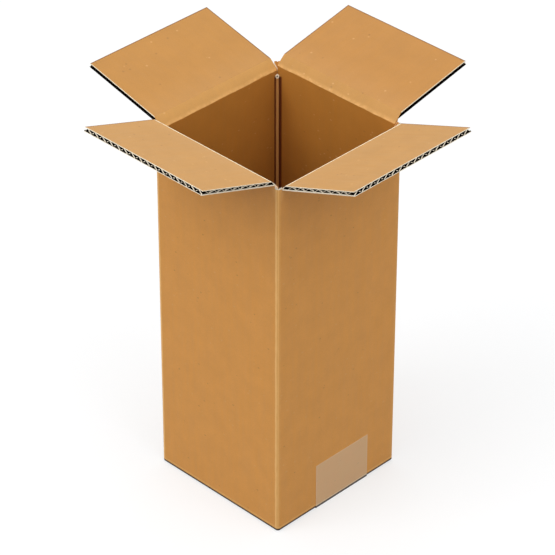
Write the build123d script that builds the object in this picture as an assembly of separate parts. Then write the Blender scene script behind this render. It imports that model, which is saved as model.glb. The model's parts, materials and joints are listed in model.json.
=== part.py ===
from build123d import *
import math
import os
from collections import namedtuple

# An open box of single-wall corrugated board: one folded and glued sheet with its bottom taped shut,
# four top flaps that swing on their creases, and the strip of sealing tape.
# Millimetres. The origin is on the floor under the middle of the box and +Z is up.
# The front wall faces -Y. The right wall, which shows one end of the tape, faces +X.

# The box
inner_width = 101.6
inner_depth = 101.6
wall_height = 259.0
flap_length = 63.5
half_slot = 5.6
half_top_slot = 3.0
corner_radius = 2.2
foot_radius = 1.2

# The board: two liners with a fluted medium between them
board = 3.0
liner = 0.4
flute_pitch = 6.35
flute_land = 0.3
flute_tip_radius = 0.35

# The creases
crease_bevel = 3.6
crease_clearance = 0.2
crease_band = 1.2
bead_radius = 1.1
groove_radius = 0.8
slot_drop = 0.8
flute_stop = 4.6

# How the flaps lap when they are closed
lap_clearance = 0.3
flap_side_clearance = 0.2
layer_gap = 0.2

# How far each flap stands open, counted from upright
front_open = 71.3
right_open = 69.2
back_open = 78.1
left_open = 76.2

# The glued seam, inside the right wall at the back corner
seam_width = 30.0
seam_taper = 9.0
seam_end_gap = 8.0
raw_edge_recess = 0.6
seam_fold_radius = 2.0

# The sealing tape
tape_width = 48.0
tape_thickness = 0.15
tape_rise = 34.3
tape_offset = 5.0

# Sizes that follow from those above
outer_width = inner_width + 2 * board
outer_depth = inner_depth + 2 * board
half_width = outer_width / 2
half_depth = outer_depth / 2
lap_step = board + lap_clearance
shoulder = wall_height - crease_clearance - crease_bevel - board

Wall = namedtuple("Wall", "turn reach span crease opening layer")
walls = {
    "front": Wall(0, half_depth, outer_width, wall_height + lap_step, front_open, 0),
    "right": Wall(90, half_width, outer_depth, wall_height, right_open, 2),
    "back": Wall(180, half_depth, outer_width, wall_height + lap_step, back_open, 1),
    "left": Wall(270, half_width, outer_depth, wall_height, left_open, 3),
}
# Every wall is drawn as the front one, facing -Y, and is then turned about Z into its place.


def across(points, width):
    """A solid of the given width along X, from an outline of (y, z) points."""
    outline = make_face(Polyline(*points, close=True))
    return extrude(Plane.YZ * outline, amount=width / 2, both=True)


def block(x_range, y_range, z_range):
    """A plain rectangular solid between three pairs of limits."""
    size = [high - low for low, high in (x_range, y_range, z_range)]
    corner = (x_range[0], y_range[0], z_range[0])
    return Pos(*corner) * Box(*size, align=(Align.MIN, Align.MIN, Align.MIN))


def flute():
    """The open end of one flute: flat on its liner, with straight flanks to a round tip."""
    height = board / 2 - liner
    half_base = flute_pitch / 2 - flute_land
    tip = (0, flute_land - height)
    outline = make_face(Polyline((-half_base, height), (half_base, height), tip, close=True))
    return fillet(outline.vertices().sort_by(Axis.Y)[0], flute_tip_radius)


def board_section(width):
    """The cut end of the board: flutes open alternately to the inner and the outer liner."""
    upper = flute()
    lower = Rot(0, 0, 180) * upper
    count = math.ceil(width / flute_pitch / 2)
    section = Rectangle(width, board)
    for index in range(-count, count + 1):
        section -= Pos(index * flute_pitch, 0) * upper
        section -= Pos((index + 0.5) * flute_pitch, 0) * lower
    return section


def top_flap(wall):
    """One top flap, fluted from its cut edge to its crease, standing open as in use."""
    width = wall.span - 2 * (half_top_slot + flap_side_clearance)
    outside = -wall.reach
    inside = outside + board
    root = wall.crease + crease_clearance
    fluted_from = wall.crease + flute_stop
    crease = across(
        [(outside, root), (outside, fluted_from), (inside, fluted_from), (inside, root + crease_bevel)],
        width,
    )
    panel = extrude(board_section(width), amount=flap_length - flute_stop)
    flap = crease + Pos(0, outside + board / 2, fluted_from) * panel
    hinge = Pos(0, outside, wall.crease)
    opened = hinge * Rot(wall.opening, 0, 0) * hinge.inverse() * flap
    return Rot(0, 0, wall.turn) * opened


def corner_points():
    """The four inside corners, with the signs of their sides."""
    return [(side_x, side_y) for side_x in (-1, 1) for side_y in (-1, 1)]


def sheet_section():
    """The walls in plan: folded corners, each with the bead and the two grooves of its score."""
    section = Rectangle(outer_width, outer_depth)
    folded = [v for v in section.vertices() if v.X < 0 or v.Y < 0]
    section = fillet(folded, corner_radius) - Rectangle(inner_width, inner_depth)
    groove_place = bead_radius + groove_radius
    for side_x, side_y in corner_points():
        corner_x = side_x * inner_width / 2
        corner_y = side_y * inner_depth / 2
        section -= Pos(corner_x - side_x * groove_place, corner_y) * Circle(groove_radius)
        section -= Pos(corner_x, corner_y - side_y * groove_place) * Circle(groove_radius)
        section += Pos(corner_x, corner_y) * Circle(bead_radius)
    return section - seam_groove()


def seam_groove():
    """What is missing outside the glued corner: the fold's round back and the raw edge beside it."""
    seam_x = half_width - board
    raw_edge = Pos(seam_x, half_depth - raw_edge_recess) * Rectangle(
        2 * board, 2 * raw_edge_recess, align=(Align.MIN, Align.MIN)
    )
    fold_centre = Pos(seam_x - seam_fold_radius, half_depth - seam_fold_radius)
    fold = fold_centre * Rectangle(seam_fold_radius, seam_fold_radius, align=(Align.MIN, Align.MIN))
    return raw_edge + (fold - fold_centre * Circle(seam_fold_radius))


def wall_top(wall):
    """The top of one wall between its slots, bevelled inside where the crease was crushed."""
    outside = -wall.reach
    inside = outside + board
    top = wall.crease - crease_clearance
    points = [(outside, shoulder), (outside, top), (inside, top - crease_bevel), (inside, shoulder)]
    return Rot(0, 0, wall.turn) * across(points, wall.span - 2 * half_top_slot)


def crushed_inside(wall, top):
    """The wedge that creasing takes off the inside of a wall, right across it, from the given height down."""
    outside = -wall.reach
    inside = outside + 2 * board
    points = [(outside, top), (inside, top), (inside, top - 2 * crease_bevel)]
    return Rot(0, 0, wall.turn) * across(points, wall.span)


def corner_posts(section):
    """The folded corners, which end at the bottom of the slots and are crushed inside by both creases."""
    top = wall_height + lap_step - slot_drop
    squares = Sketch()
    for side_x, side_y in corner_points():
        place = Pos(side_x * (half_width - half_top_slot / 2), side_y * (half_depth - half_top_slot / 2))
        squares += place * Rectangle(half_top_slot, half_top_slot)
    posts = Pos(0, 0, shoulder) * extrude(section & squares, amount=top - shoulder)
    front, right, back, left = [crushed_inside(wall, top) for wall in walls.values()]
    return posts - ((front + back) & (right + left))


def bottom_level(layer):
    """Height of the underside of a bottom flap, counted in layers from the floor."""
    return tape_thickness + layer * (board + layer_gap)


def bottom_flap(wall):
    """One closed bottom flap, with the crushed band that lifts it over the flaps under it."""
    half_span = wall.span / 2 - half_slot
    inside = board - wall.reach
    level = bottom_level(wall.layer)
    flap = block((-half_span, half_span), (inside, flap_length - wall.reach), (level, level + board))
    if wall.layer > 0:
        flap += block((-half_span, half_span), (inside, inside + crease_band), (0, level))
    return Rot(0, 0, wall.turn) * flap


def glued_seam():
    """The seam tab: it folds in from the back wall and is glued inside the right wall."""
    back = inner_depth / 2
    low = bottom_level(len(walls)) + seam_end_gap
    high = shoulder - seam_end_gap
    points = [
        (back, low), (back, high),
        (back - seam_width, high - seam_taper), (back - seam_width, low + seam_taper),
    ]
    outline = make_face(Polyline(*points, close=True))
    return Pos(inner_width / 2, 0, 0) * extrude(Plane.YZ * outline, amount=-board)


def tape_limits():
    """Where the tape lies along Y, and where the outer bottom flap ends under it."""
    start = tape_offset - tape_width / 2
    return start, flap_length - half_depth, start + tape_width


def tape_bed():
    """The dents that the tape presses into the feet of the right and left walls."""
    start, _, end = tape_limits()
    return block((-outer_width, outer_width), (start, end), (-board, tape_thickness))


def box_body():
    """The folded sheet: walls, glued seam, creased rim and the four closed bottom flaps."""
    section = sheet_section()
    sheet = extrude(section, amount=shoulder)
    foot = [e for e in sheet.edges().group_by(Axis.Z)[0] if is_outside(e)]
    sheet = fillet(foot, foot_radius)
    sheet += [wall_top(wall) for wall in walls.values()]
    sheet += [corner_posts(section), glued_seam()]
    sheet += [bottom_flap(wall) for wall in walls.values()]
    return sheet - tape_bed()


def is_outside(edge):
    """Whether an edge of the plan lies in the outer half of the board."""
    middle = edge.position_at(0.5)
    return abs(middle.X) > half_width - board / 2 or abs(middle.Y) > half_depth - board / 2


def sealing_tape():
    """The strip of tape: up the right wall, under the lapped flaps and up the left wall."""
    start, step, end = tape_limits()
    face = half_width + tape_thickness
    foot = half_width - board - crease_band
    side = half_width - half_slot
    upper = bottom_level(1)

    def strip(under, over, y_range):
        """One run of the tape between its lower and upper lines, each from right to left."""
        points = [(face, tape_rise), (face, 0), *under, (-face, 0), (-face, tape_rise)]
        points += [(-half_width, tape_rise), (-half_width, tape_thickness), *over]
        points += [(half_width, tape_thickness), (half_width, tape_rise)]
        outline = make_face(Polyline(*points, close=True))
        run = extrude(Plane.XZ * outline, amount=y_range[0] - y_range[1])
        return Pos(0, y_range[0], 0) * run

    low = upper - tape_thickness
    climb = [(foot, 0), (side, low), (-side, low), (-foot, 0)]
    back_climb = [(-foot, tape_thickness), (-side, upper), (side, upper), (foot, tape_thickness)]
    riser = make_face(Polyline(*climb, close=True))
    tape = strip([], [], (start, step)) + strip(climb, back_climb, (step, end))
    return tape + Pos(0, step, 0) * extrude(Plane.XZ * riser, amount=-tape_thickness)


def build():
    parts = {"box_body": box_body(), "sealing_tape": sealing_tape()}
    for name, wall in walls.items():
        parts[f"{name}_flap"] = top_flap(wall)
    return parts


os.makedirs("parts", exist_ok=True)
for node, shape in build().items():
    export_step(shape, f"parts/{node}.step")
    print(f"{node}: {len(shape.solids())} solid, {shape.volume / 1000:.1f} cm3")
for name, wall in walls.items():
    print(f"{name} crease: {wall.reach:.1f} from the middle, {wall.crease:.1f} high")
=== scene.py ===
# %% [markdown]
# # An open cardboard box
#
# This lesson dresses a small corrugated box that stands open on a pale floor.
# The construction is already modelled to size: a folded sheet with a taped bottom, and four flaps that swing.
# Blender adds what a drawing of the parts can't hold: the kraft paper, the raw cut edges, the bent creases,
# the light and the camera. Nothing here moves or resizes a part of the construction.

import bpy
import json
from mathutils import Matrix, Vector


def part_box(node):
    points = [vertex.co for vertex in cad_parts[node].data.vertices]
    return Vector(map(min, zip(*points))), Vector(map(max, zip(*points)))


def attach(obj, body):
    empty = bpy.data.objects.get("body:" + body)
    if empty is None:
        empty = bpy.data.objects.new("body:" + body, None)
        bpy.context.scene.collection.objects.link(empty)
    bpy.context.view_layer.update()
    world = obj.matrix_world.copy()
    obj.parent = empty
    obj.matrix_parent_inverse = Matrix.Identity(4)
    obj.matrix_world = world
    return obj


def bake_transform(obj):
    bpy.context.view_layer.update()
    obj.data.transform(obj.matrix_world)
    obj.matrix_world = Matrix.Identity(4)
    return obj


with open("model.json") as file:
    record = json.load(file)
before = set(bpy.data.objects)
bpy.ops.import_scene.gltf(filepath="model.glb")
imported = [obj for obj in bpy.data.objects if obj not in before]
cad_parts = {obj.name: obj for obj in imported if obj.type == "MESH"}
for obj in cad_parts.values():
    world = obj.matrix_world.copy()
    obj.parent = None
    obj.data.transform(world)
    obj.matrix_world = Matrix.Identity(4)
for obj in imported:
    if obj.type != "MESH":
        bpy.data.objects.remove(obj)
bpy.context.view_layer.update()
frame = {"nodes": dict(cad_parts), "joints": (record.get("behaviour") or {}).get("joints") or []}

# %% The modules that the lesson uses
import json
import math
import random
from collections import namedtuple

import bmesh
import bpy
from mathutils import Matrix, Vector

mm = 0.001
scene = bpy.context.scene
up = Vector((0, 0, 1))

# %% [markdown]
# ## Where the creases are
#
# Each flap hangs on a crease. The record of the construction says where that is and how far it bends.
# From that we make one small frame per flap: X runs along the crease, Y along the flap away from it,
# and Z through the board, from its outer face to its inner one.
# Work on a slanted flap then becomes work on a flat one.

# %% One frame for each flap
Crease = namedtuple("Crease", "name flap place along out opening frame")
folded_back = 175
board = 3.0 * mm


def read_crease(joint):
    """The crease of one joint, with the frame of its flap as it stands open."""
    place, along = Vector(joint["pos_m"]), Vector(joint["axis"])
    out = along.cross(up)
    opening = math.radians(folded_back - joint["range_deg"][1])
    reach = out * math.sin(opening) + up * math.cos(opening)
    inner = up * math.sin(opening) - out * math.cos(opening)
    turn = Matrix((-along, reach, inner)).transposed().to_4x4()
    return Crease(joint["name"], joint["child"], place, along, out, opening, Matrix.Translation(place) @ turn)


creases = [read_crease(joint) for joint in frame["joints"]]
for crease in creases:
    to_flap = crease.frame.inverted()
    points = [to_flap @ vertex.co for vertex in frame["nodes"][crease.flap].data.vertices]
    size = [max(p[axis] for p in points) - min(p[axis] for p in points) for axis in range(3)]
    print(crease.flap, "stands", round(math.degrees(crease.opening), 1), "degrees open and measures",
          [round(s / mm, 1) for s in size], "mm")

# The four flaps are of one size, so the last of them gives it.
half_flap = max(p.x for p in points)
flap_length = max(p.y for p in points)
half_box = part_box("box_body")[1].x

# %% [markdown]
# ## The camera
#
# The picture was taken with a long lens from well above the box, looking at one of its corners.
# A camera can be placed by eye, but a corner view shows every wrong degree,
# so direction, distance and lens come from fitting the corners of the box to the picture.

# %% Place the camera
view_azimuth = math.radians(44.717)
view_elevation = math.radians(34.257)
view_roll = math.radians(0.076)
view_distance = 1966.2 * mm
aim_height = 130 * mm
aim_right = -0.112 * mm
aim_up = 13.242 * mm
picture_width = 555
focal_pixels = 3076.8
sensor_width = 36
clip_distance = 20

level = math.cos(view_elevation)
toward_camera = Vector((
    math.sin(view_azimuth) * level,
    -math.cos(view_azimuth) * level,
    math.sin(view_elevation),
))
screen_right = Vector((math.cos(view_azimuth), math.sin(view_azimuth), 0))
screen_up = toward_camera.cross(screen_right)
lens = bpy.data.cameras.new("camera")
lens.sensor_width = sensor_width
lens.lens = focal_pixels / picture_width * sensor_width
lens.clip_end = clip_distance
camera = bpy.data.objects.new("camera", lens)
facing = Matrix((screen_right, screen_up, toward_camera)).transposed().to_4x4()
aim = up * aim_height + screen_right * aim_right + screen_up * aim_up
camera.matrix_world = (
    Matrix.Translation(aim + toward_camera * view_distance) @ facing @ Matrix.Rotation(view_roll, 4, "Z")
)
scene.collection.objects.link(camera)
scene.camera = camera
scene.view_settings.view_transform = "Standard"
print("camera at", [round(v, 3) for v in camera.matrix_world.translation],
      "with a lens of", round(lens.lens, 1))

# %% [markdown]
# ## Helpers for building shaders
#
# Materials are node trees. Built by hand in the editor they are a web of links;
# in code a few helpers keep them readable.
# `add` places a node and `feed` gives it its inputs, each a plain value or the socket it is linked to.
# `calc` and its kin do sums, `fade` is a soft step, and `tint` mixes two colours.

# %% Helpers that place nodes
socket_kinds = {3: "Vector", 4: "Color"}


def feed(tree, node, inputs):
    """Gives a node its inputs: a socket is linked, a plain value is set."""
    for key, value in inputs.items():
        if isinstance(value, bpy.types.NodeSocket):
            tree.links.new(value, node.inputs[key])
        else:
            node.inputs[key].default_value = value


def add(tree, kind, inputs=None, **settings):
    """A new shader node with its settings and inputs."""
    node = tree.nodes.new("ShaderNode" + kind)
    for name, value in settings.items():
        setattr(node, name, value)
    feed(tree, node, inputs or {})
    return node


def effect(name, inputs, outputs):
    """An empty node group with named sockets: returns its tree, what it is given and the node that gives."""
    tree = bpy.data.node_groups.new(name, "ShaderNodeTree")
    for label, value in inputs.items():
        kind = socket_kinds[len(value)] if isinstance(value, tuple) else "Float"
        socket = tree.interface.new_socket(label, in_out="INPUT", socket_type="NodeSocket" + kind)
        socket.default_value = value
    for label, kind in outputs.items():
        tree.interface.new_socket(label, in_out="OUTPUT", socket_type="NodeSocket" + kind)
    return tree, tree.nodes.new("NodeGroupInput").outputs, tree.nodes.new("NodeGroupOutput")


def use(tree, group, inputs):
    """A node group placed in a material, with its own values."""
    return add(tree, "Group", inputs, node_tree=group).outputs


def new_material(name):
    """An empty material: returns it with its tree and the shader, which is joined to the output."""
    material = bpy.data.materials.new(name)
    material.use_nodes = True
    tree = material.node_tree
    tree.nodes.clear()
    shader = add(tree, "BsdfPrincipled")
    add(tree, "OutputMaterial", {"Surface": shader.outputs[0]})
    return material, tree, shader


print("node helpers ready")

# %% Helpers that work out values


def srgb(red, green, blue):
    """A colour as it is read off a picture, in the linear values that shaders use."""
    def linear(value):
        value /= 255
        return value / 12.92 if value <= 0.04045 else ((value + 0.055) / 1.055) ** 2.4
    return linear(red), linear(green), linear(blue), 1.0


def calc(tree, operation, *values):
    """The result of one sum."""
    return add(tree, "Math", dict(enumerate(values)), operation=operation).outputs[0]


def plus(tree, first, second):
    """Two values added."""
    return calc(tree, "ADD", first, second)


def minus(tree, first, second):
    """The second value taken from the first."""
    return calc(tree, "SUBTRACT", first, second)


def times(tree, first, second):
    """Two values multiplied, which is also where two masks overlap."""
    return calc(tree, "MULTIPLY", first, second)


def fade(tree, value, start, end, low=0.0, high=1.0):
    """A smooth step from low to high as the value goes from start to end."""
    limits = {"Value": value, "From Min": start, "From Max": end, "To Min": low, "To Max": high}
    return add(tree, "MapRange", limits, interpolation_type="SMOOTHSTEP").outputs[0]


def fall(tree, value, start, end, high=1.0):
    """A smooth step down to 0 as the value goes from start to end."""
    return fade(tree, value, start, end, high, 0.0)


def apart(tree, first, second):
    """How far two values are apart."""
    return calc(tree, "ABSOLUTE", minus(tree, first, second))


def tint(tree, factor, first, second):
    """Two colours mixed by a factor."""
    return add(tree, "Mix", {0: factor, 6: first, 7: second}, data_type="RGBA").outputs[2]


def noise(tree, position, scale, detail=2.0):
    """Soft noise from 0 to 1; the scale is in grains per metre."""
    inputs = {"Vector": position, "Scale": scale, "Detail": detail}
    return add(tree, "TexNoise", inputs).outputs[0]


def split(tree, vector):
    """The X, Y and Z of a vector."""
    return add(tree, "SeparateXYZ", {0: vector}).outputs


def stretched(tree, position, factors):
    """A position stretched along its axes."""
    return add(tree, "VectorMath", {0: position, 1: factors}, operation="MULTIPLY").outputs[0]


def scaled(tree, colour, factor):
    """A colour made lighter or darker."""
    return add(tree, "VectorMath", {0: colour, "Scale": factor}, operation="SCALE").outputs[0]


def length(tree, vector):
    """The length of a vector."""
    return add(tree, "VectorMath", {0: vector}, operation="LENGTH").outputs["Value"]


def dot(tree, vector, way):
    """How far a vector goes one way, which must have a length of 1."""
    return add(tree, "VectorMath", {0: vector, 1: way}, operation="DOT_PRODUCT").outputs["Value"]


def bumped(tree, height, strength, distance):
    """The normal of a surface that a height has roughened."""
    inputs = {"Height": height, "Strength": strength, "Distance": distance}
    return add(tree, "Bump", inputs).outputs[0]


print("value helpers ready")

# %% [markdown]
# ## The floor
#
# The box stands on white studio paper that leaves only a breath of shadow around its foot.
# A white floor under enough light would do it, but that light would bleach the cardboard too.
# So camera rays, and rays from glossy or clear things, see white with a share of the real shading in it
# for the shadow, and plain white where the floor runs out of the lamps' reach.
# The light that bounces back onto the box comes from a plain grey sheet.

# %% Make the floor
floor_size = 6.0
floor_drop = 0.05 * mm
bounce_grey = srgb(120, 120, 120)
shaded_white = (0.965, 0.985, 1, 1)
white = (1, 1, 1, 1)
shadow_share = 0.45
shadow_reach = (0.5, 1.1)


def seen_directly(tree):
    """1 for rays from the camera and from glossy or clear things, 0 for light that bounces."""
    rays = add(tree, "LightPath").outputs
    mirrored = calc(tree, "MAXIMUM", rays["Is Glossy Ray"], rays["Is Transmission Ray"])
    return calc(tree, "MAXIMUM", rays["Is Camera Ray"], mirrored)


floor_mesh = bmesh.new()
bmesh.ops.create_grid(floor_mesh, x_segments=4, y_segments=4, size=floor_size / 2)
bmesh.ops.translate(floor_mesh, verts=floor_mesh.verts, vec=(0, 0, -floor_drop))
floor_data = bpy.data.meshes.new("floor")
floor_mesh.to_mesh(floor_data)
floor_mesh.free()
floor = bpy.data.objects.new("floor", floor_data)
scene.collection.objects.link(floor)

floor_paint, tree, shader = new_material("studio_floor")
seen = seen_directly(tree)
feed(tree, shader, {
    "Base Color": tint(tree, seen, bounce_grey, shaded_white),
    "Roughness": 0.9,
    "Specular IOR Level": 0.0,
})
glow = add(tree, "Emission", {"Color": white, "Strength": 1.0})
from_box = length(tree, add(tree, "TexCoord").outputs["Object"])
plain = times(tree, seen, fade(tree, from_box, *shadow_reach, 1 - shadow_share, 1.0))
mixed = add(tree, "MixShader", {0: plain, 1: shader.outputs[0], 2: glow.outputs[0]})
feed(tree, tree.nodes["Material Output"], {"Surface": mixed.outputs[0]})
floor_data.materials.append(floor_paint)
print("floor of", floor_size, "m")

# %% [markdown]
# ## The light
#
# The picture has the even light of a product shot: large soft lamps high on both sides,
# the left one the stronger, a weak one overhead, and white all round.
# The world does the white: the camera and reflections see it at full strength.
# It lights the box less, and from above more than from the horizon, which keeps the inside of the box dark.
# The lamps then bring a white card on the floor to about white, so colours come out as they are written.

# %% Make the world and the lamps
horizon_level, zenith_level = 0.42, 1.05
lamp_target = Vector((0, 0, 0.15))
lamps = {
    "overhead": dict(place=(-0.1, -0.25, 1.85), size=1.2, power=3.5),
    "left_high": dict(place=(-0.45, -1.25, 1.4), size=1.0, power=9.5),
    "right_high": dict(place=(1.25, 0.0, 1.4), size=1.0, power=4.9),
}

world = bpy.data.worlds.new("studio")
world.use_nodes = True
scene.world = world
tree = world.node_tree
tree.nodes.clear()
height = split(tree, add(tree, "TexCoord").outputs["Generated"])["Z"]
lighting = add(tree, "MapRange", {"Value": height, "To Min": horizon_level, "To Max": zenith_level})
strength = add(tree, "MapRange", {
    "Value": seen_directly(tree), "To Min": lighting.outputs[0], "To Max": 1.0})
sky = add(tree, "Background", {"Color": white, "Strength": strength.outputs[0]})
add(tree, "OutputWorld", {"Surface": sky.outputs[0]})

for name, lamp in lamps.items():
    light = bpy.data.lights.new(name, "AREA")
    light.shape = "SQUARE"
    light.size = lamp["size"]
    light.energy = lamp["power"]
    holder = bpy.data.objects.new(name, light)
    holder.location = lamp["place"]
    holder.rotation_euler = (Vector(lamp["place"]) - lamp_target).to_track_quat("Z", "Y").to_euler()
    scene.collection.objects.link(holder)
    print("lamp", name, "of", lamp["power"], "W")

# %% [markdown]
# ## Effect: which way the board runs
#
# Corrugated board has a direction: its flutes stand upright in the walls and run outwards in the flaps.
# Streaks and ridges have to follow them.
# An unwrapped map could say so, but the box is simple enough to work it out:
# the face's own normal tells which wall it belongs to, so we know which axis runs across the flutes.

# %% Group: board_direction
direction, given, gives = effect(
    "board_direction",
    {"Position": (0, 0, 0), "Normal": (0, 0, 1)},
    {"Across": "Float", "Along": "Float"},
)
place = split(direction, given["Position"])
normal = split(direction, given["Normal"])
look_x, look_y = (calc(direction, "ABSOLUTE", normal[axis]) for axis in "XY")
faces_x = calc(direction, "GREATER_THAN", look_x, look_y)
swapped = times(direction, faces_x, minus(direction, place["Y"], place["X"]))
away_x, away_y = (calc(direction, "ABSOLUTE", place[axis]) for axis in "XY")
outwards = calc(direction, "MAXIMUM", away_x, away_y)
feed(direction, gives, {
    "Across": plus(direction, place["X"], swapped),
    "Along": plus(direction, place["Z"], outwards),
})
print("group", direction.name)

# %% [markdown]
# ## Effect: kraft paper
#
# Kraft paper is never one brown. Pulp settles in soft clouds a few centimetres wide,
# fibres draw faint streaks along the web, and here and there lies a dark or pale fleck of bark.
# A photograph of paper would repeat. Three layers of noise and a scatter of flecks never do,
# and they work at any distance.
# The flecks are the middles of Voronoi cells. A cell's colour also says where its middle lies,
# so we draw lots with white noise instead; by colour, the flecks would miss some walls altogether.

# %% Group: kraft_paper, the pulp
cloud_grain, fibre_grain = 75.0, 1500.0
web_across, web_along = 420.0, 26.0
fibre_swing = 0.16

paper, given, gives = effect(
    "kraft_paper",
    {
        "Position": (0, 0, 0), "Across": 0.0, "Along": 0.0,
        "Paper": srgb(202, 146, 77), "Mottle": 0.085, "Streaks": 0.03, "Flecks": 0.6,
    },
    {"Colour": "Color", "Roughness": "Float", "Height": "Float"},
)


def swing(value, amount):
    """Noise from 0 to 1 made into a swing to both sides of nothing."""
    return times(paper, minus(paper, value, 0.5), amount)


clouds = noise(paper, given["Position"], cloud_grain, 4.0)
fibres = noise(paper, given["Position"], fibre_grain)
web = add(paper, "CombineXYZ", {
    "X": times(paper, given["Across"], web_across),
    "Y": times(paper, given["Along"], web_along),
}).outputs[0]
streaks = noise(paper, web, 1.0, 3.0)
tone = plus(paper, 1.0, swing(clouds, times(paper, given["Mottle"], 2.0)))
tone = plus(paper, tone, swing(streaks, times(paper, given["Streaks"], 2.0)))
tone = plus(paper, tone, swing(fibres, fibre_swing))
pulp = scaled(paper, given["Paper"], tone)
print("group", paper.name, "has clouds, fibres and streaks")

# %% Group: kraft_paper, the flecks
fleck_grain = 250.0
fleck_flattening = (1, 1, 1.7)
fleck_edge = (0.1, 0.27)
dark_share, pale_share = 0.05, 0.08
dark_fleck, pale_fleck = srgb(128, 84, 36), srgb(232, 190, 132)

flattened = stretched(paper, given["Position"], fleck_flattening)
cells = add(paper, "TexVoronoi", {"Vector": flattened, "Scale": fleck_grain}).outputs
spot = fall(paper, cells["Distance"], *fleck_edge)
luck = add(paper, "TexWhiteNoise", {"Vector": cells["Color"]}).outputs["Value"]
dark = calc(paper, "GREATER_THAN", luck, 1 - dark_share)
pale = calc(paper, "LESS_THAN", luck, pale_share)
for drawn, cover, fleck_tone in ((dark, 0.55, dark_fleck), (pale, 0.5, pale_fleck)):
    fleck = times(paper, times(paper, spot, drawn), times(paper, given["Flecks"], cover))
    pulp = tint(paper, fleck, pulp, fleck_tone)
feed(paper, gives, {
    "Colour": pulp,
    "Roughness": fade(paper, streaks, 0.2, 0.8, 0.52, 0.64),
    "Height": plus(paper, fibres, times(paper, streaks, 0.6)),
})
print("group", paper.name, "with", len(paper.nodes), "nodes")

# %% [markdown]
# ## Effect: flutes that show through
#
# The liner is glued to the crests of a waved sheet, and in low light its surface shows the waves
# as a faint washboard. Modelling ridges of a few hundredths of a millimetre would only cost triangles,
# so they are a height for the bump.

# %% Group: flute_ridges
flute_pitch = 6.35 * mm

ridges, given, gives = effect("flute_ridges", {"Across": 0.0}, {"Ridge": "Float"})
phase = times(ridges, given["Across"], 2 * math.pi / flute_pitch)
feed(ridges, gives, {"Ridge": calc(ridges, "COSINE", phase)})
print("group", ridges.name, "at a pitch of", round(flute_pitch / mm, 2), "mm")

# %% [markdown]
# ## Effect: frayed lines
#
# Where board is folded, the paper stretches and its fibres lift, and later handling rubs them paler still.
# A rounded fold or edge also catches the light, so most lines drawn with this group are painted highlight,
# some with rubbing.
# The group takes the distance from a line and gives a mask that frays with noise, so the line is never ruled.

# %% Group: rubbed_fold
fray_grain = 520.0
fray_stretch = (1, 1, 0.3)
solid_share = 0.45

frayed_line, given, gives = effect(
    "rubbed_fold",
    {"Position": (0, 0, 0), "Distance": 0.0, "Width": 2 * mm},
    {"Mask": "Float"},
)
fray = noise(frayed_line, stretched(frayed_line, given["Position"], fray_stretch), fray_grain, 3.0)
stray = times(frayed_line, minus(frayed_line, fray, 0.5), given["Width"])
frayed = plus(frayed_line, given["Distance"], stray)
solid = times(frayed_line, given["Width"], solid_share)
feed(frayed_line, gives, {"Mask": fall(frayed_line, frayed, solid, given["Width"])})
print("group", frayed_line.name)

# %% [markdown]
# ## Effect: the cut edge of solid board
#
# The flaps are modelled with real flutes, but the walls and bottom flaps are solid board.
# Where those were cut, the edge still has to show two liners and the waved sheet between them,
# with the open flutes drawn dark as painted shade.
# The group draws that section from two measures:
# how deep a point lies in the board, and how far along the edge.

# %% Group: board_section
liner_blur = 0.08 * mm
medium_edge = (0.28 * mm, 0.4 * mm)
half_pitch = flute_pitch / 2

section, given, gives = effect(
    "board_section",
    {"Depth": 0.0, "Along": 0.0, "Board": board, "Liner": 0.5 * mm},
    {"Paper": "Float"},
)
wave = calc(section, "DIVIDE", calc(section, "PINGPONG", given["Along"], half_pitch), half_pitch)
core = minus(section, given["Board"], times(section, given["Liner"], 2.0))
medium = plus(section, given["Liner"], times(section, wave, core))
off_medium = apart(section, given["Depth"], medium)
from_back = minus(section, given["Board"], given["Depth"])
off_face = calc(section, "MINIMUM", given["Depth"], from_back)
past_liner = minus(section, off_face, given["Liner"])
in_liner = fall(section, past_liner, -liner_blur, liner_blur)
in_medium = fall(section, off_medium, *medium_edge)
feed(section, gives, {"Paper": calc(section, "MAXIMUM", in_liner, in_medium)})
print("group", section.name)

# %% [markdown]
# ## Material: the kraft liners
#
# Outside and inside wear the same paper, but carry different marks,
# and different tones: painted light makes the outside a lit copy of it and the inside a shaded copy.
# Outside, the upright folds carry pale lines, partly rubbing and partly a painted highlight on the rounded
# fold;
# at the top, where the slots end, they widen into painted light where the flaps' shadow doesn't reach.
# The foot has a painted highlight above a painted shadow where it meets the floor.
# Inside, the score of each corner has raised a bead between two grooves: the bead takes a painted highlight
# and the grooves painted shade.
# All of these lie at known places, so their masks come from the position alone.

# %% Marks on the outside
# A pale tone for rubbed paper and for painted highlights on rounded folds.
rub_and_highlight_tone = srgb(255, 199, 122)
raw_tone = srgb(255, 244, 222)
shadow_tone = srgb(34, 14, 4)
shadow_strength = 0.98
rim_top = max(crease.place.z for crease in creases)
# Painted light with rubbing: the pale band on each upright fold widens at the top, where the flaps' shadow
# misses it.
lit_fan_heights = (rim_top - 14 * mm, rim_top - 4 * mm)
lit_fan_widths = (2.6 * mm, 7.0 * mm)
lit_fan_strength = 0.24
# Two thin lines on the rounded corner: rubbing and a painted highlight.
fold_lines = ((1.9 * mm, 1.0 * mm, 1.0), (0.0, 0.7 * mm, 0.7))
rim_edge = (rim_top - 2.4 * mm, rim_top - 1.9 * mm)
slot_edge = (2.9 * mm, 3.0 * mm)
# A painted highlight on the rounded foot, just above its painted shadow.
foot_highlight, foot_highlight_width, foot_highlight_strength = 3.0 * mm, 0.9 * mm, 0.45
wall_shadow = (1.6 * mm, 2.2 * mm)


def from_planes(tree, position, half):
    """How far a point lies inside the planes at plus and minus half, along X and Y, and its height."""
    axes = split(tree, position)
    inset_x, inset_y = (minus(tree, half, calc(tree, "ABSOLUTE", axes[axis])) for axis in "XY")
    return inset_x, inset_y, axes["Z"]


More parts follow.
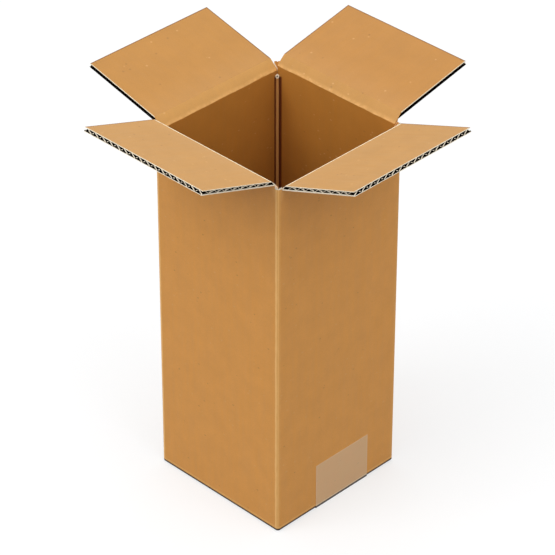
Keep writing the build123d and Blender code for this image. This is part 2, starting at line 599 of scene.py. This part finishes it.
def line_mask(tree, position, value, middle, width):
    """A frayed line where a value lies near its middle."""
    off_line = apart(tree, value, middle)
    return use(tree, frayed_line, {"Position": position, "Distance": off_line, "Width": width})["Mask"]


def outside_marks(tree, position, colour):
    """Rubbing and painted highlight on the folds, painted light at their tops, the cut rim, painted highlight
    and shadow at the foot.
    """
    inset_x, inset_y, height = from_planes(tree, position, half_box)
    sideways = minus(tree, inset_x, inset_y)
    # The fold's pale band: rubbing and painted highlight, then painted light at the top.
    pale_band = line_mask(tree, position, sideways, 0.0, fade(tree, height, *lit_fan_heights, *lit_fan_widths))
    colour = tint(tree, times(tree, pale_band, lit_fan_strength), colour, rub_and_highlight_tone)
    for middle, width, strength in fold_lines:
        line = line_mask(tree, position, sideways, middle, width)
        colour = tint(tree, times(tree, line, strength), colour, rub_and_highlight_tone)
    in_slot = fall(tree, calc(tree, "MAXIMUM", inset_x, inset_y), *slot_edge)
    colour = tint(tree, times(tree, fade(tree, height, *rim_edge), in_slot), colour, raw_tone)
    # A painted highlight along the foot.
    foot = line_mask(tree, position, height, foot_highlight, foot_highlight_width)
    colour = tint(tree, times(tree, foot, foot_highlight_strength), colour, rub_and_highlight_tone)
    return tint(tree, fall(tree, height, *wall_shadow, shadow_strength), colour, shadow_tone)


print("marks on the outside end at", round(rim_top / mm, 1), "mm")

# %% Marks on the inside
# Painted highlight on the raised bead, painted shade in the grooves.
bead_highlight_tone = srgb(255, 190, 110)
groove_shade_tone = srgb(100, 36, 0)
inner_half = half_box - board
bead_top = min(crease.place.z for crease in creases) - 6.8 * mm
bead_end = 1.5 * mm
bead_edge = (1.0 * mm, 1.25 * mm)
groove_edge = (2.1 * mm, 3.0 * mm)
groove_spread = (0.66, 1, 1)
groove_strength = 0.95


def inside_marks(tree, position, colour):
    """The painted highlight on the bead and the painted shade in the two grooves of each inside corner."""
    inset_x, inset_y, height = from_planes(tree, position, inner_half)
    below_end = fall(tree, height, bead_top, bead_top + bead_end)
    away = add(tree, "CombineXYZ", {"X": inset_x, "Y": inset_y}).outputs[0]
    spread = length(tree, stretched(tree, away, groove_spread))
    groove = times(tree, below_end, fall(tree, spread, *groove_edge, groove_strength))
    colour = tint(tree, groove, colour, groove_shade_tone)
    bead = times(tree, below_end, fall(tree, length(tree, away), *bead_edge))
    return tint(tree, bead, colour, bead_highlight_tone)


print("beads in the corners end at", round(bead_top / mm, 1), "mm")

# %% Make the liners
# Painted light and shade: one kraft paper, written brighter for the outside of the walls and darker for the
# inside.
outer_lit_tone = srgb(230, 160, 75)
inner_shaded_tone = srgb(186, 125, 46)
ridge_shade = 0.004
ridge_height = 0.12


def lay_paper(tree, tone, flecks=0.6):
    """Paper of one tone along the flutes: returns the paper, where it lies and how far across."""
    coordinates = add(tree, "TexCoord").outputs
    position = coordinates["Object"]
    runs = use(tree, direction, {"Position": position, "Normal": coordinates["Normal"]})
    sheet = use(tree, paper, {
        "Position": position, "Across": runs["Across"], "Along": runs["Along"],
        "Paper": tone, "Flecks": flecks})
    return sheet, position, runs["Across"]


def kraft(name, tone, marks):
    """Kraft paper of one tone, with the marks that the given function adds to its colour."""
    material, tree, shader = new_material(name)
    sheet, position, across = lay_paper(tree, tone)
    ridge = use(tree, ridges, {"Across": across})["Ridge"]
    # The flute ridges also shade the colour a little: painted shade of the washboard.
    shade = plus(tree, 1.0, times(tree, ridge, ridge_shade))
    height = plus(tree, sheet["Height"], times(tree, ridge, ridge_height))
    feed(tree, shader, {
        "Base Color": marks(tree, position, scaled(tree, sheet["Colour"], shade)),
        "Roughness": sheet["Roughness"],
        "Normal": bumped(tree, height, 0.3, 0.08 * mm),
        "Specular IOR Level": 0.55,
        "Sheen Weight": 0.22,
        "Sheen Roughness": 0.3,
    })
    return material


outer_liner = kraft("kraft_outer_liner", outer_lit_tone, outside_marks)
inner_liner = kraft("kraft_inner_liner", inner_shaded_tone, inside_marks)
print("materials", outer_liner.name, "and", inner_liner.name)

# %% [markdown]
# ## Material: the two sides of the flaps
#
# The upper faces of the flaps are the inner liner again, in a lighter tone of their own on each flap: painted
# light for how each flap stands in the light.
# Next to a crease the front and right flaps carry a thin pale line, a painted highlight on the rounded fold,
# and their near edges are pale, partly frayed and partly a painted highlight.
# Along the edges that lie away from us runs a thin brown line of painted shade.
# The outsides look down and take a darker copy of the outer liner's tone, painted shade, with a crushed line
# beside the crease and edges that are rubbed a little.
# All of these follow the slanted flap,
# so every flap measures them in its own frame and has its own materials.

# %% Marks on the upper faces
notch = 3.8 * mm
# A brown tone for painted shade on the far edges and for the crushed line under the flap.
shade_and_crush_tone = srgb(120, 70, 24)
# A pale tone for fraying, rubbing and painted highlights.
fray_and_highlight_tone = srgb(255, 240, 205)
far_side_signs = {"front_flap": 1, "right_flap": -1, "back_flap": -1, "left_flap": 1}
front_corner_flaps = ("front_flap", "right_flap")
paler_reach, paler_strength = 28 * mm, 0.022
crease_line, crease_line_width = notch + 0.1 * mm, 1.0 * mm
near_edge, near_strength = (0.15 * mm, 0.45 * mm), 0.8
far_edge, far_strength = (0.45 * mm, 0.85 * mm), 0.85


def along_axis(tree, position, crease, axis):
    """How far a point lies from a crease along one axis of its frame."""
    arm = add(tree, "VectorMath", {0: position, 1: crease.place}, operation="SUBTRACT").outputs[0]
    return dot(tree, arm, crease.frame.col[axis].xyz)


def flap_marks(crease):
    """Paler paper and a painted highlight by the crease, near edges frayed and highlit, far edges in painted
    shade.
    """
    def marks(tree, position, colour):
        x = times(tree, along_axis(tree, position, crease, 0), far_side_signs[crease.flap])
        y = along_axis(tree, position, crease, 1)
        paler = fall(tree, y, notch, paler_reach, paler_strength)
        colour = tint(tree, paler, colour, fray_and_highlight_tone)
        far, near = minus(tree, half_flap, x), plus(tree, half_flap, x)
        end = minus(tree, flap_length, y)
        if crease.flap in front_corner_flaps:
            near = calc(tree, "MINIMUM", near, end)
            # Painted highlight on the rounded fold by the crease.
            pale_band = line_mask(tree, position, y, crease_line, crease_line_width)
            colour = tint(tree, pale_band, colour, fray_and_highlight_tone)
        else:
            far = calc(tree, "MINIMUM", far, end)
        # Near edges: fraying and painted highlight; far edges: painted shade.
        colour = tint(tree, fall(tree, near, *near_edge, near_strength), colour, fray_and_highlight_tone)
        return tint(tree, fall(tree, far, *far_edge, far_strength), colour, shade_and_crush_tone)
    return marks


# The front and right flaps carry the pale painted highlight by the crease.
print("rubbed to a pale line by the crease:", *front_corner_flaps)

# %% Make the flaps' liners
# Painted light: lit copies of the inner liner's tone, one per flap, and a shaded copy of the outer liner's
# tone for the outsides.
flap_lit_tones = {
    "front_flap": srgb(195, 143, 73), "right_flap": srgb(192, 140, 70),
    "back_flap": srgb(184, 128, 57), "left_flap": srgb(185, 130, 58)}
underside_shaded_tone = srgb(198, 139, 62)
crushed_line, crushed_width, crushed_strength = 1.3 * mm, 0.9 * mm, 0.5
edge_rub, edge_strength = 0.8 * mm, 0.5


def underside_marks(crease):
    """The crushed line beside the crease and the rubbed edges on the outside of one flap."""
    def marks(tree, position, colour):
        x = along_axis(tree, position, crease, 0)
        y = along_axis(tree, position, crease, 1)
        crushed = line_mask(tree, position, y, crushed_line, crushed_width)
        colour = tint(tree, times(tree, crushed, crushed_strength), colour, shade_and_crush_tone)
        side = minus(tree, half_flap, calc(tree, "ABSOLUTE", x))
        edge = calc(tree, "MINIMUM", side, minus(tree, flap_length, y))
        pale_band = line_mask(tree, position, edge, 0.0, edge_rub)
        return tint(tree, times(tree, pale_band, edge_strength), colour, fray_and_highlight_tone)
    return marks


flap_liners, flap_undersides = {}, {}
for crease in creases:
    flap = crease.flap
    flap_liners[flap] = kraft(flap + "_inside", flap_lit_tones[flap], flap_marks(crease))
    flap_undersides[flap] = kraft(flap + "_outside", underside_shaded_tone, underside_marks(crease))
    print("materials", flap_liners[flap].name, "and", flap_undersides[flap].name)

# %% [markdown]
# ## Material: raw cut paper
#
# A knife leaves the paper's edge pale and furry, much lighter than its face.
# It is the brightest thing on the box, so its noise stays gentle: a little brown where the blade dragged.
# Across the ends of the flaps the blade ran over the flutes and pushed every second flank of the waved sheet
# back into the board. The flank keeps its place in the model: its middle stays pale and the rest is painted
# shade.

# %% Make the raw cuts
dragged_tone = srgb(224, 184, 132)
# Painted shade for open flutes and for flanks pushed back into the board.
hollow_shade_tone = srgb(10, 5, 2)
drag_grain, fur_grain = 900.0, 2600.0
flank_middle = (0.2 * mm, 0.45 * mm)
flank_end = (1.0 * mm, 1.1 * mm)


def raw_colour(tree, position):
    """The pale colour of a cut edge, browner in places."""
    dragged = fade(tree, noise(tree, position, drag_grain, 3.0), 0.45, 0.8, 0.0, 0.5)
    return tint(tree, dragged, raw_tone, dragged_tone)


def shaded_flanks(tree, position, crease):
    """A mask of painted shade on every second flank at the end of one flap, without its middle and the
    liners.
    """
    x = times(tree, along_axis(tree, position, crease, 0), far_side_signs[crease.flap])
    in_flute = calc(tree, "FRACT", calc(tree, "DIVIDE", x, flute_pitch))
    second = calc(tree, "GREATER_THAN", in_flute, 0.5)
    off_middle = apart(tree, along_axis(tree, position, crease, 2), board / 2)
    before_liner = fall(tree, off_middle, *flank_end)
    return times(tree, second, times(tree, fade(tree, off_middle, *flank_middle), before_liner))


def raw_paper(name, crease=None):
    """Cut paper, with painted shade on every second flank where it is the end of a flap."""
    material, tree, shader = new_material(name)
    position = add(tree, "TexCoord").outputs["Object"]
    colour = raw_colour(tree, position)
    if crease:
        colour = tint(tree, shaded_flanks(tree, position, crease), colour, hollow_shade_tone)
    feed(tree, shader, {
        "Base Color": colour,
        "Normal": bumped(tree, noise(tree, position, fur_grain), 0.5, 0.1 * mm),
        "Roughness": 0.85,
        "Specular IOR Level": 0.0,
    })
    return material


raw_cut = raw_paper("raw_cut_paper")
end_cuts = {crease.flap: raw_paper(crease.flap + "_end", crease) for crease in creases}
print("materials", raw_cut.name, *(end.name for end in end_cuts.values()))

# %% [markdown]
# ## Material: the hollow of a flute
#
# Hardly any light gets into a flute. The tunnels are really there, but a thin flap is lit from all sides,
# so the paper inside is painted darker than it is, as painted shade. Only at the mouth of a flute,
# on the flanks that face up into the light and weren't pushed in, is it left as pale as the cut.

# %% Make the flute hollows
dark_tones = srgb(6, 3, 1), srgb(14, 8, 4)
dark_grain = 700.0
lip_depth = (0.2 * mm, 0.65 * mm)
lip_slope = (0.1, 0.3)
whole_slope = 0.1


def flute_lips(tree, position, normal, crease):
    """A mask of the lips of one flap's flutes, on flanks that face up into the light and weren't pushed in.
    """
    depth = minus(tree, flap_length, along_axis(tree, position, crease, 1))
    rising = dot(tree, normal, crease.frame.col[2].xyz)
    sideways = dot(tree, normal, -crease.frame.col[0].xyz * far_side_signs[crease.flap])
    whole = calc(tree, "GREATER_THAN", sideways, whole_slope)
    flank = times(tree, fade(tree, rising, *lip_slope), whole)
    return times(tree, fall(tree, depth, *lip_depth), flank)


def hollow_paper(name, crease=None):
    """Paper painted dark as shade, with pale lips at the mouths of the flutes where it belongs to a flap."""
    material, tree, shader = new_material(name)
    coordinates = add(tree, "TexCoord").outputs
    position = coordinates["Object"]
    colour = tint(tree, noise(tree, position, dark_grain), *dark_tones)
    if crease:
        lips = flute_lips(tree, position, coordinates["Normal"], crease)
        colour = tint(tree, lips, colour, raw_tone)
    feed(tree, shader, {"Base Color": colour, "Roughness": 0.9, "Specular IOR Level": 0.0})
    return material


hollow = hollow_paper("dark_hollow")
flute_hollows = {crease.flap: hollow_paper(crease.flap + "_flutes", crease) for crease in creases}
print("materials", hollow.name, *(flute.name for flute in flute_hollows.values()))

# %% [markdown]
# ## Material: cut edges of solid board
#
# All of these use the drawn section; they differ in how depth is measured.
# In the walls it runs inwards from the outer faces. In the bottom flaps it is the height in a layer of board.
# On the sides of a top flap, which are cut along a flute, it runs through the slanted flap.
# On the back and left flaps the outer liner at the cut lies in shadow, so it is painted dark: painted shade.

# %% Make the cut edges
layer_step = 3.2 * mm
tape_film = 0.15 * mm
shaded_liner_depth = 0.9 * mm


def cut_edge(name, measure):
    """The drawn section of solid board; measure gives the depth in it and the place along the edge."""
    material, tree, shader = new_material(name)
    position = add(tree, "TexCoord").outputs["Object"]
    depth, along = measure(tree, position)
    shown = use(tree, section, {"Depth": depth, "Along": along})["Paper"]
    feed(tree, shader, {
        "Base Color": tint(tree, shown, hollow_shade_tone, raw_colour(tree, position)),
        "Normal": bumped(tree, shown, 0.8, 0.4 * mm),
        "Roughness": 0.85,
        "Specular IOR Level": 0.0,
    })
    return material


def in_wall(tree, position):
    """Depth from the outer faces of the walls."""
    inset_x, inset_y, height = from_planes(tree, position, half_box)
    along = plus(tree, height, calc(tree, "MAXIMUM", inset_x, inset_y))
    return calc(tree, "MINIMUM", inset_x, inset_y), along


def in_bottom(tree, position):
    """Height within a layer of the closed bottom."""
    axes = split(tree, position)
    depth = calc(tree, "MODULO", minus(tree, axes["Z"], tape_film), layer_step)
    return depth, plus(tree, axes["X"], axes["Y"])


def in_flap(crease):
    """Depth through one flap; the cut follows a flute, so the medium stays against the outer liner."""
    # Painted shade: on the back and left flaps the outer liner of the cut is drawn dark.
    shaded_below = 0.0 if crease.flap in front_corner_flaps else shaded_liner_depth

    def measure(tree, position):
        depth = along_axis(tree, position, crease, 2)
        return calc(tree, "MAXIMUM", depth, shaded_below), 0.0

    return measure


wall_edge = cut_edge("wall_cut_edge", in_wall)
bottom_edge = cut_edge("bottom_cut_edge", in_bottom)
side_edges = {crease.flap: cut_edge(crease.flap + "_side_edge", in_flap(crease)) for crease in creases}
print("materials", wall_edge.name, bottom_edge.name, *(edge.name for edge in side_edges.values()))

# %% [markdown]
# ## Material: sealing tape
#
# The tape is a milky film: the kraft paper shows through it, greyed and a little paler,
# darker where the glue has wetted the paper and paler where air is left under it.
# Real transparency would need the film and the wall to be traced apart,
# a fraction of a millimetre from each other.
# Painting the same paper under a veil gives that look with none of the noise.

# %% Make the tape
tape_low, tape_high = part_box("sealing_tape")
veil_tones = srgb(236, 197, 155), srgb(226, 190, 143)
border_highlight_tone = srgb(240, 206, 164)
glint_tone = srgb(250, 226, 186)
wetting_grain, ripple_grain = 95.0, 240.0
ripple_stretch = (1, 1, 0.35)
border_edge, border_strength = (0.3 * mm, 1.1 * mm), 0.4
glint_edge, glint_strength = (2.2 * mm, 2.8 * mm), 0.6
tape_shadow = (1.3 * mm, 1.8 * mm)

tape, tree, shader = new_material("sealing_tape")
under, position, _ = lay_paper(tree, outer_lit_tone, flecks=0.8)
wetting = noise(tree, position, wetting_grain, 3.0)
veil = tint(tree, wetting, *veil_tones)
film = tint(tree, fade(tree, wetting, 0.3, 0.75, 0.62, 0.74), under["Colour"], veil)
axes = split(tree, position)
from_side = calc(tree, "MINIMUM", minus(tree, axes["Y"], tape_low.y), minus(tree, tape_high.y, axes["Y"]))
from_end = minus(tree, tape_high.z, axes["Z"])
# Painted highlight along the film's edges and just above its foot, and painted shadow at the foot.
border = fall(tree, calc(tree, "MINIMUM", from_side, from_end), *border_edge)
film = tint(tree, times(tree, border, border_strength), film, border_highlight_tone)
film = tint(tree, fall(tree, axes["Z"], *glint_edge, glint_strength), film, glint_tone)
film = tint(tree, fall(tree, axes["Z"], *tape_shadow, shadow_strength), film, shadow_tone)
ripples = noise(tree, stretched(tree, position, ripple_stretch), ripple_grain)
feed(tree, shader, {
    "Base Color": film,
    "Roughness": fade(tree, wetting, 0.3, 0.7, 0.3, 0.42),
    "Normal": bumped(tree, ripples, 0.25, 0.2 * mm),
})
tape_mesh = frame["nodes"]["sealing_tape"].data
tape_mesh.materials.clear()
tape_mesh.materials.append(tape)
print("tape is", round((tape_high.y - tape_low.y) / mm, 1), "mm wide and climbs",
      round(tape_high.z / mm, 1), "mm")

# %% [markdown]
# ## Paint the flaps
#
# A flap needs five finishes: the two liners, the raw cuts of its end and of its sides,
# and the hollows of its flutes.
# A mesh can carry several materials, one number per face, so we sort the faces by where they lie
# and which way they look in the flap's own frame.

# %% Sort the faces of the flaps
facing_straight = 0.9
on_face = 0.05 * mm


def paint(node, materials, choose):
    """Gives each face of a part the material that choose picks from its centre and normal."""
    mesh = frame["nodes"][node].data
    mesh.materials.clear()
    for material in materials:
        mesh.materials.append(material)
    counts = [0] * len(materials)
    for face in mesh.polygons:
        pick = materials.index(choose(face.center, face.normal))
        face.material_index = pick
        counts[pick] += 1
    print(node, {material.name: count for material, count in zip(materials, counts)})


def flap_finish(to_flap, liner, underside, side_edge, end_cut, flutes):
    """A chooser for one flap, which looks at a face in the flap's own frame."""
    turn = to_flap.to_3x3()

    def choose(centre, normal):
        spot, look = to_flap @ centre, turn @ normal
        if look.z > facing_straight and spot.z > board - on_face:
            return liner
        if look.z < -facing_straight and spot.z < on_face:
            return underside
        if look.y > facing_straight and spot.y > flap_length - on_face:
            return end_cut
        if abs(look.x) > facing_straight and abs(spot.x) > half_flap - on_face:
            return side_edge
        return flutes

    return choose


finishes = (flap_liners, flap_undersides, side_edges, end_cuts, flute_hollows)
for crease in creases:
    own = [finish[crease.flap] for finish in finishes]
    paint(crease.flap, own, flap_finish(crease.frame.inverted(), *own))

# %% [markdown]
# ## Paint the folded sheet
#
# The walls, the glued seam and the bottom are one piece of board, so the sorting asks more:
# outside or inside, a cut at the slots of the rim, or the free edge of a bottom flap.
# The round foot of the walls sits in its own contact shadow. No light comes from under there,
# so those faces take dark paper, which draws the fine black line that a standing box has.

# %% Sort the faces of the sheet
rim_height = min(crease.place.z for crease in creases) - 8 * mm
bottom_height = 13.2 * mm
foot_height = 1.2 * mm
margin = 1 * mm
facing_up = 0.4
foot_shade = hollow_paper("foot_shade")


def sheet_finish(centre, normal):
    """The finish of one face of the folded sheet."""
    reach = max(abs(centre.x), abs(centre.y))
    side = min(abs(centre.x), abs(centre.y))
    in_rim = centre.z > rim_height
    level_face = abs(normal.z) > facing_straight
    if in_rim and level_face:
        return wall_edge
    if in_rim and reach > inner_half and abs(side - half_flap) < margin:
        across = normal.x if abs(centre.y) > abs(centre.x) else normal.y
        if abs(across) > facing_straight:
            return raw_cut
    if in_rim and normal.z > facing_up:
        return inner_liner
    if reach > half_box - margin:
        return foot_shade if centre.z < foot_height else outer_liner
    if centre.z < bottom_height and not level_face and reach < inner_half - margin:
        return bottom_edge
    if normal.z < -facing_straight and centre.z < bottom_height:
        return outer_liner
    return inner_liner


paint("box_body", [inner_liner, outer_liner, wall_edge, bottom_edge, raw_cut, foot_shade], sheet_finish)

# %% [markdown]
# ## The bent creases
#
# The construction leaves a notch between a wall and its flap, so that the flap can swing.
# On the real box the board is crushed thin along that line, and its inner paper runs on over the fold.
# We model that paper as a strip from the wall to the flap as it stands open, bent between them,
# and each point of it carries its share of the bend, from 0 at the wall to 1 at the flap.
# Along its length the strip wavers a little, because a score line is crushed unevenly.
# It carries a pale line of rubbing and painted highlight, and each strip's tone is set to the light on its
# flap.

# %% Materials for the folds
# Painted light: lit and shaded copies of one paper, each set to match the light on its flap.
fold_lit_tones = {
    "front_flap": srgb(206, 153, 82), "right_flap": srgb(206, 153, 82),
    "back_flap": srgb(190, 138, 66), "left_flap": srgb(201, 148, 75)}
uneven_grain, uneven_swing = 70.0, 0.25
pale_line_grain = 420.0
flap_paper_from = (0.1, 0.14)
pale_from, pale_to = (0.1, 0.16), (0.16, 0.45)


def fold_marks(tree, position, colour):
    """Paper of the wall up to an uneven bend, then a pale line of rubbing and painted highlight towards the
    flap.
    """
    bend = add(tree, "Attribute", attribute_name="bend").outputs["Fac"]
    uneven = minus(tree, noise(tree, position, uneven_grain), 0.5)
    bend = plus(tree, bend, times(tree, uneven, uneven_swing))
    colour = tint(tree, fade(tree, bend, *flap_paper_from), inner_shaded_tone, colour)
    # The pale line: rubbing and a painted highlight on the rounded fold.
    pale = times(tree, fade(tree, bend, *pale_from), fall(tree, bend, *pale_to))
    pale_line_strength = fade(tree, noise(tree, position, pale_line_grain, 3.0), 0.3, 0.7, 0.15, 0.4)
    return tint(tree, times(tree, pale, pale_line_strength), colour, rub_and_highlight_tone)


fold_papers = {
    crease.flap: kraft(crease.name + "_paper", fold_lit_tones[crease.flap], fold_marks) for crease in creases}
print("materials", *(fold.name for fold in fold_papers.values()))

# %% The shape of a crease
gap = 0.2 * mm
wall_rise = 1.4 * mm
wall_share = 0.12
notch_share = 0.5
fold_steps = 12
wave_count = 5
wave_sizes, wave_rates, wave_starts = (0.4, 1.0), (90, 900), (0, 6.3)


def crease_outline(crease, bulge):
    """The strip at one place: the paper from the wall to the flap, then the notch behind it.

    Each point comes with its share of the bend, from 0 at the wall to 1 at the flap."""
    reach, inner = crease.frame.col[1].xyz, crease.frame.col[2].xyz
    wall_end = -crease.out * board - up * notch
    bend_line = wall_end + up * wall_rise
    flap_end = inner * board + reach * notch
    rise = (inner - crease.out).normalized() * bulge * 4
    points = [(0.0, wall_end)]
    for step in range(fold_steps + 1):
        share = step / fold_steps
        point = bend_line.lerp(flap_end, share) + rise * share * (1 - share)
        points.append((wall_share + (1 - wall_share) * share, point))
    return points + [(notch_share, reach * gap), (notch_share, -up * gap)]


def wavering(name):
    """A smooth, uneven line along a crease, the same on every run."""
    draw = random.Random(name)
    waves = [
        (draw.uniform(*wave_sizes), draw.uniform(*wave_rates), draw.uniform(*wave_starts))
        for _ in range(wave_count)
    ]
    return lambda x: sum(size * math.sin(rate * x + start) for size, rate, start in waves) / len(waves)


print("a crease has", fold_steps, "steps from the wall to the flap")

# %% Make the creases
swell = 0.2 * mm
waver = 0.12 * mm
crease_steps = 64
sharp_corner = math.radians(28)


def close_tube(shape, rings):
    """Walls between one ring of points and the next, and a lid on each end."""
    for ring, following in zip(rings, rings[1:]):
        for index in range(len(ring)):
            after = (index + 1) % len(ring)
            shape.faces.new((ring[index], ring[after], following[after], following[index]))
    lids = [shape.faces.new(rings[0]), shape.faces.new(rings[-1])]
    bmesh.ops.recalc_face_normals(shape, faces=shape.faces)
    return lids


def make_piece(name, shape, materials):
    """An object from a finished shape, smooth except at its real corners."""
    mesh = bpy.data.meshes.new(name)
    shape.to_mesh(mesh)
    shape.free()
    mesh.shade_smooth()
    mesh.set_sharp_from_angle(angle=sharp_corner)
    for material in materials:
        mesh.materials.append(material)
    piece = bpy.data.objects.new(name, mesh)
    scene.collection.objects.link(piece)
    return piece


def make_crease(crease):
    """The paper that runs over one crease, bending between the wall and its flap."""
    shape = bmesh.new()
    bend = shape.verts.layers.float.new("bend")
    uneven = wavering(crease.name)
    rings = []
    for step in range(crease_steps + 1):
        x = half_flap * (2 * step / crease_steps - 1)
        ring = []
        for share, point in crease_outline(crease, swell + waver * uneven(x)):
            vertex = shape.verts.new(crease.place + crease.along * x + point)
            vertex[bend] = share
            ring.append(vertex)
        rings.append(ring)
    for lid in close_tube(shape, rings):
        lid.material_index = int(crease.flap in front_corner_flaps)
    piece = make_piece(crease.name + "_fold", shape, [fold_papers[crease.flap], raw_cut])
    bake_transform(piece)
    return piece


for crease in creases:
    piece = make_crease(crease)
    print(piece.name, "has", len(piece.data.polygons), "faces")

# %% [markdown]
# ## Torn medium along the flaps' sides
#
# The side of a flap is cut along a flute, and the blade can tear the waved sheet rather than slice it.
# On the two sides that meet at the front corner, shreds of it cross the dark channel to and fro
# between the liners.
# The other sides were cut cleaner, so they keep the open channel that the construction has.

# %% Make the torn medium
shred_thickness = 0.26 * mm
shred_depth = 1.4 * mm
shred_inset = 0.06 * mm
shred_low, shred_high = 0.8 * mm, 2.5 * mm
first_shred = 5.5 * mm
shred_steps = (2.8 * mm, 4.6 * mm)
torn_sides = {"front_flap": -1, "right_flap": 1}


def zigzag(draw):
    """Uneven steps along a flap's side, to and fro between the liners."""
    path, y, high = [], first_shred, draw.random() < 0.5
    while y < flap_length - shred_inset:
        path.append((y, shred_high if high else shred_low))
        y += draw.uniform(*shred_steps)
        high = not high
    return path


def add_ribbon(shape, path, x_out, x_in):
    """A thin ribbon along a path of (y, z) points, from the side of the flap inwards."""
    half = shred_thickness / 2
    corners = ((x_out, half), (x_in, half), (x_in, -half), (x_out, -half))
    close_tube(shape, [[shape.verts.new((x, y, z + lift)) for x, lift in corners] for y, z in path])


def make_medium(crease, side):
    """The torn medium on one side of a flap."""
    shape = bmesh.new()
    outer = side * (half_flap - shred_inset)
    add_ribbon(shape, zigzag(random.Random(crease.flap)), outer, outer - side * shred_depth)
    shape.transform(crease.frame)
    piece = make_piece(crease.flap + "_medium", shape, [raw_cut])
    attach(piece, crease.flap)
    return piece


for crease in creases:
    if crease.flap in torn_sides:
        print(make_medium(crease, torn_sides[crease.flap]).name, "rides on", crease.flap)

# %% [markdown]
# ## The curled end of a corner score
#
# At each inside corner the score has raised a round bead of paper, which ends just below the creases.
# In the far corner its end has opened into a small curl with a dark middle.
# A short spiral wall is all it takes, with a disc of painted shade in it for the depth that can't be seen.

# %% Make the curl
curl_radius = 1.3 * mm
curl_core = 0.95 * mm
curl_turns = 1.2
curl_start = math.radians(135)
curl_paper = 0.3 * mm
curl_height = 1.8 * mm
curl_rise, curl_tilt = 0.55, 0.35
curl_steps = 40
curl_foot = bead_top - 0.5 * mm
curl_offset = 0.9 * mm
disc_height = bead_top + 0.15 * mm
disc_sides = 24


def make_curl(name, corner):
    """A short spiral of paper that stands on the end of one corner's bead, round a disc of painted shade."""
    shape = bmesh.new()
    rings = []
    for step in range(curl_steps + 1):
        share = step / curl_steps
        turned = share * curl_turns * 2 * math.pi
        way = Vector((math.cos(curl_start + turned), math.sin(curl_start + turned), 0))
        outer = curl_radius + (curl_core - curl_radius) * share
        inner = outer - curl_paper
        top = bead_top + curl_height * (curl_rise + curl_tilt * math.cos(turned))
        outline = ((outer, curl_foot), (outer, top), (inner, top), (inner, curl_foot))
        rings.append([shape.verts.new(corner + way * reach + up * height) for reach, height in outline])
    close_tube(shape, rings)
    disc_radius = curl_radius - curl_paper / 2
    disc = bmesh.ops.create_circle(shape, cap_ends=True, segments=disc_sides, radius=disc_radius)
    bmesh.ops.translate(shape, verts=disc["verts"], vec=corner + up * disc_height)
    disc["verts"][0].link_faces[0].material_index = 1
    piece = make_piece(name, shape, [raw_cut, hollow])
    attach(piece, "box")
    return piece


corner = Vector((curl_offset - inner_half, inner_half - curl_offset, 0))
curl = make_curl("back_left_curl", corner)
print(curl.name, "at", [round(v / mm, 1) for v in corner.xy])
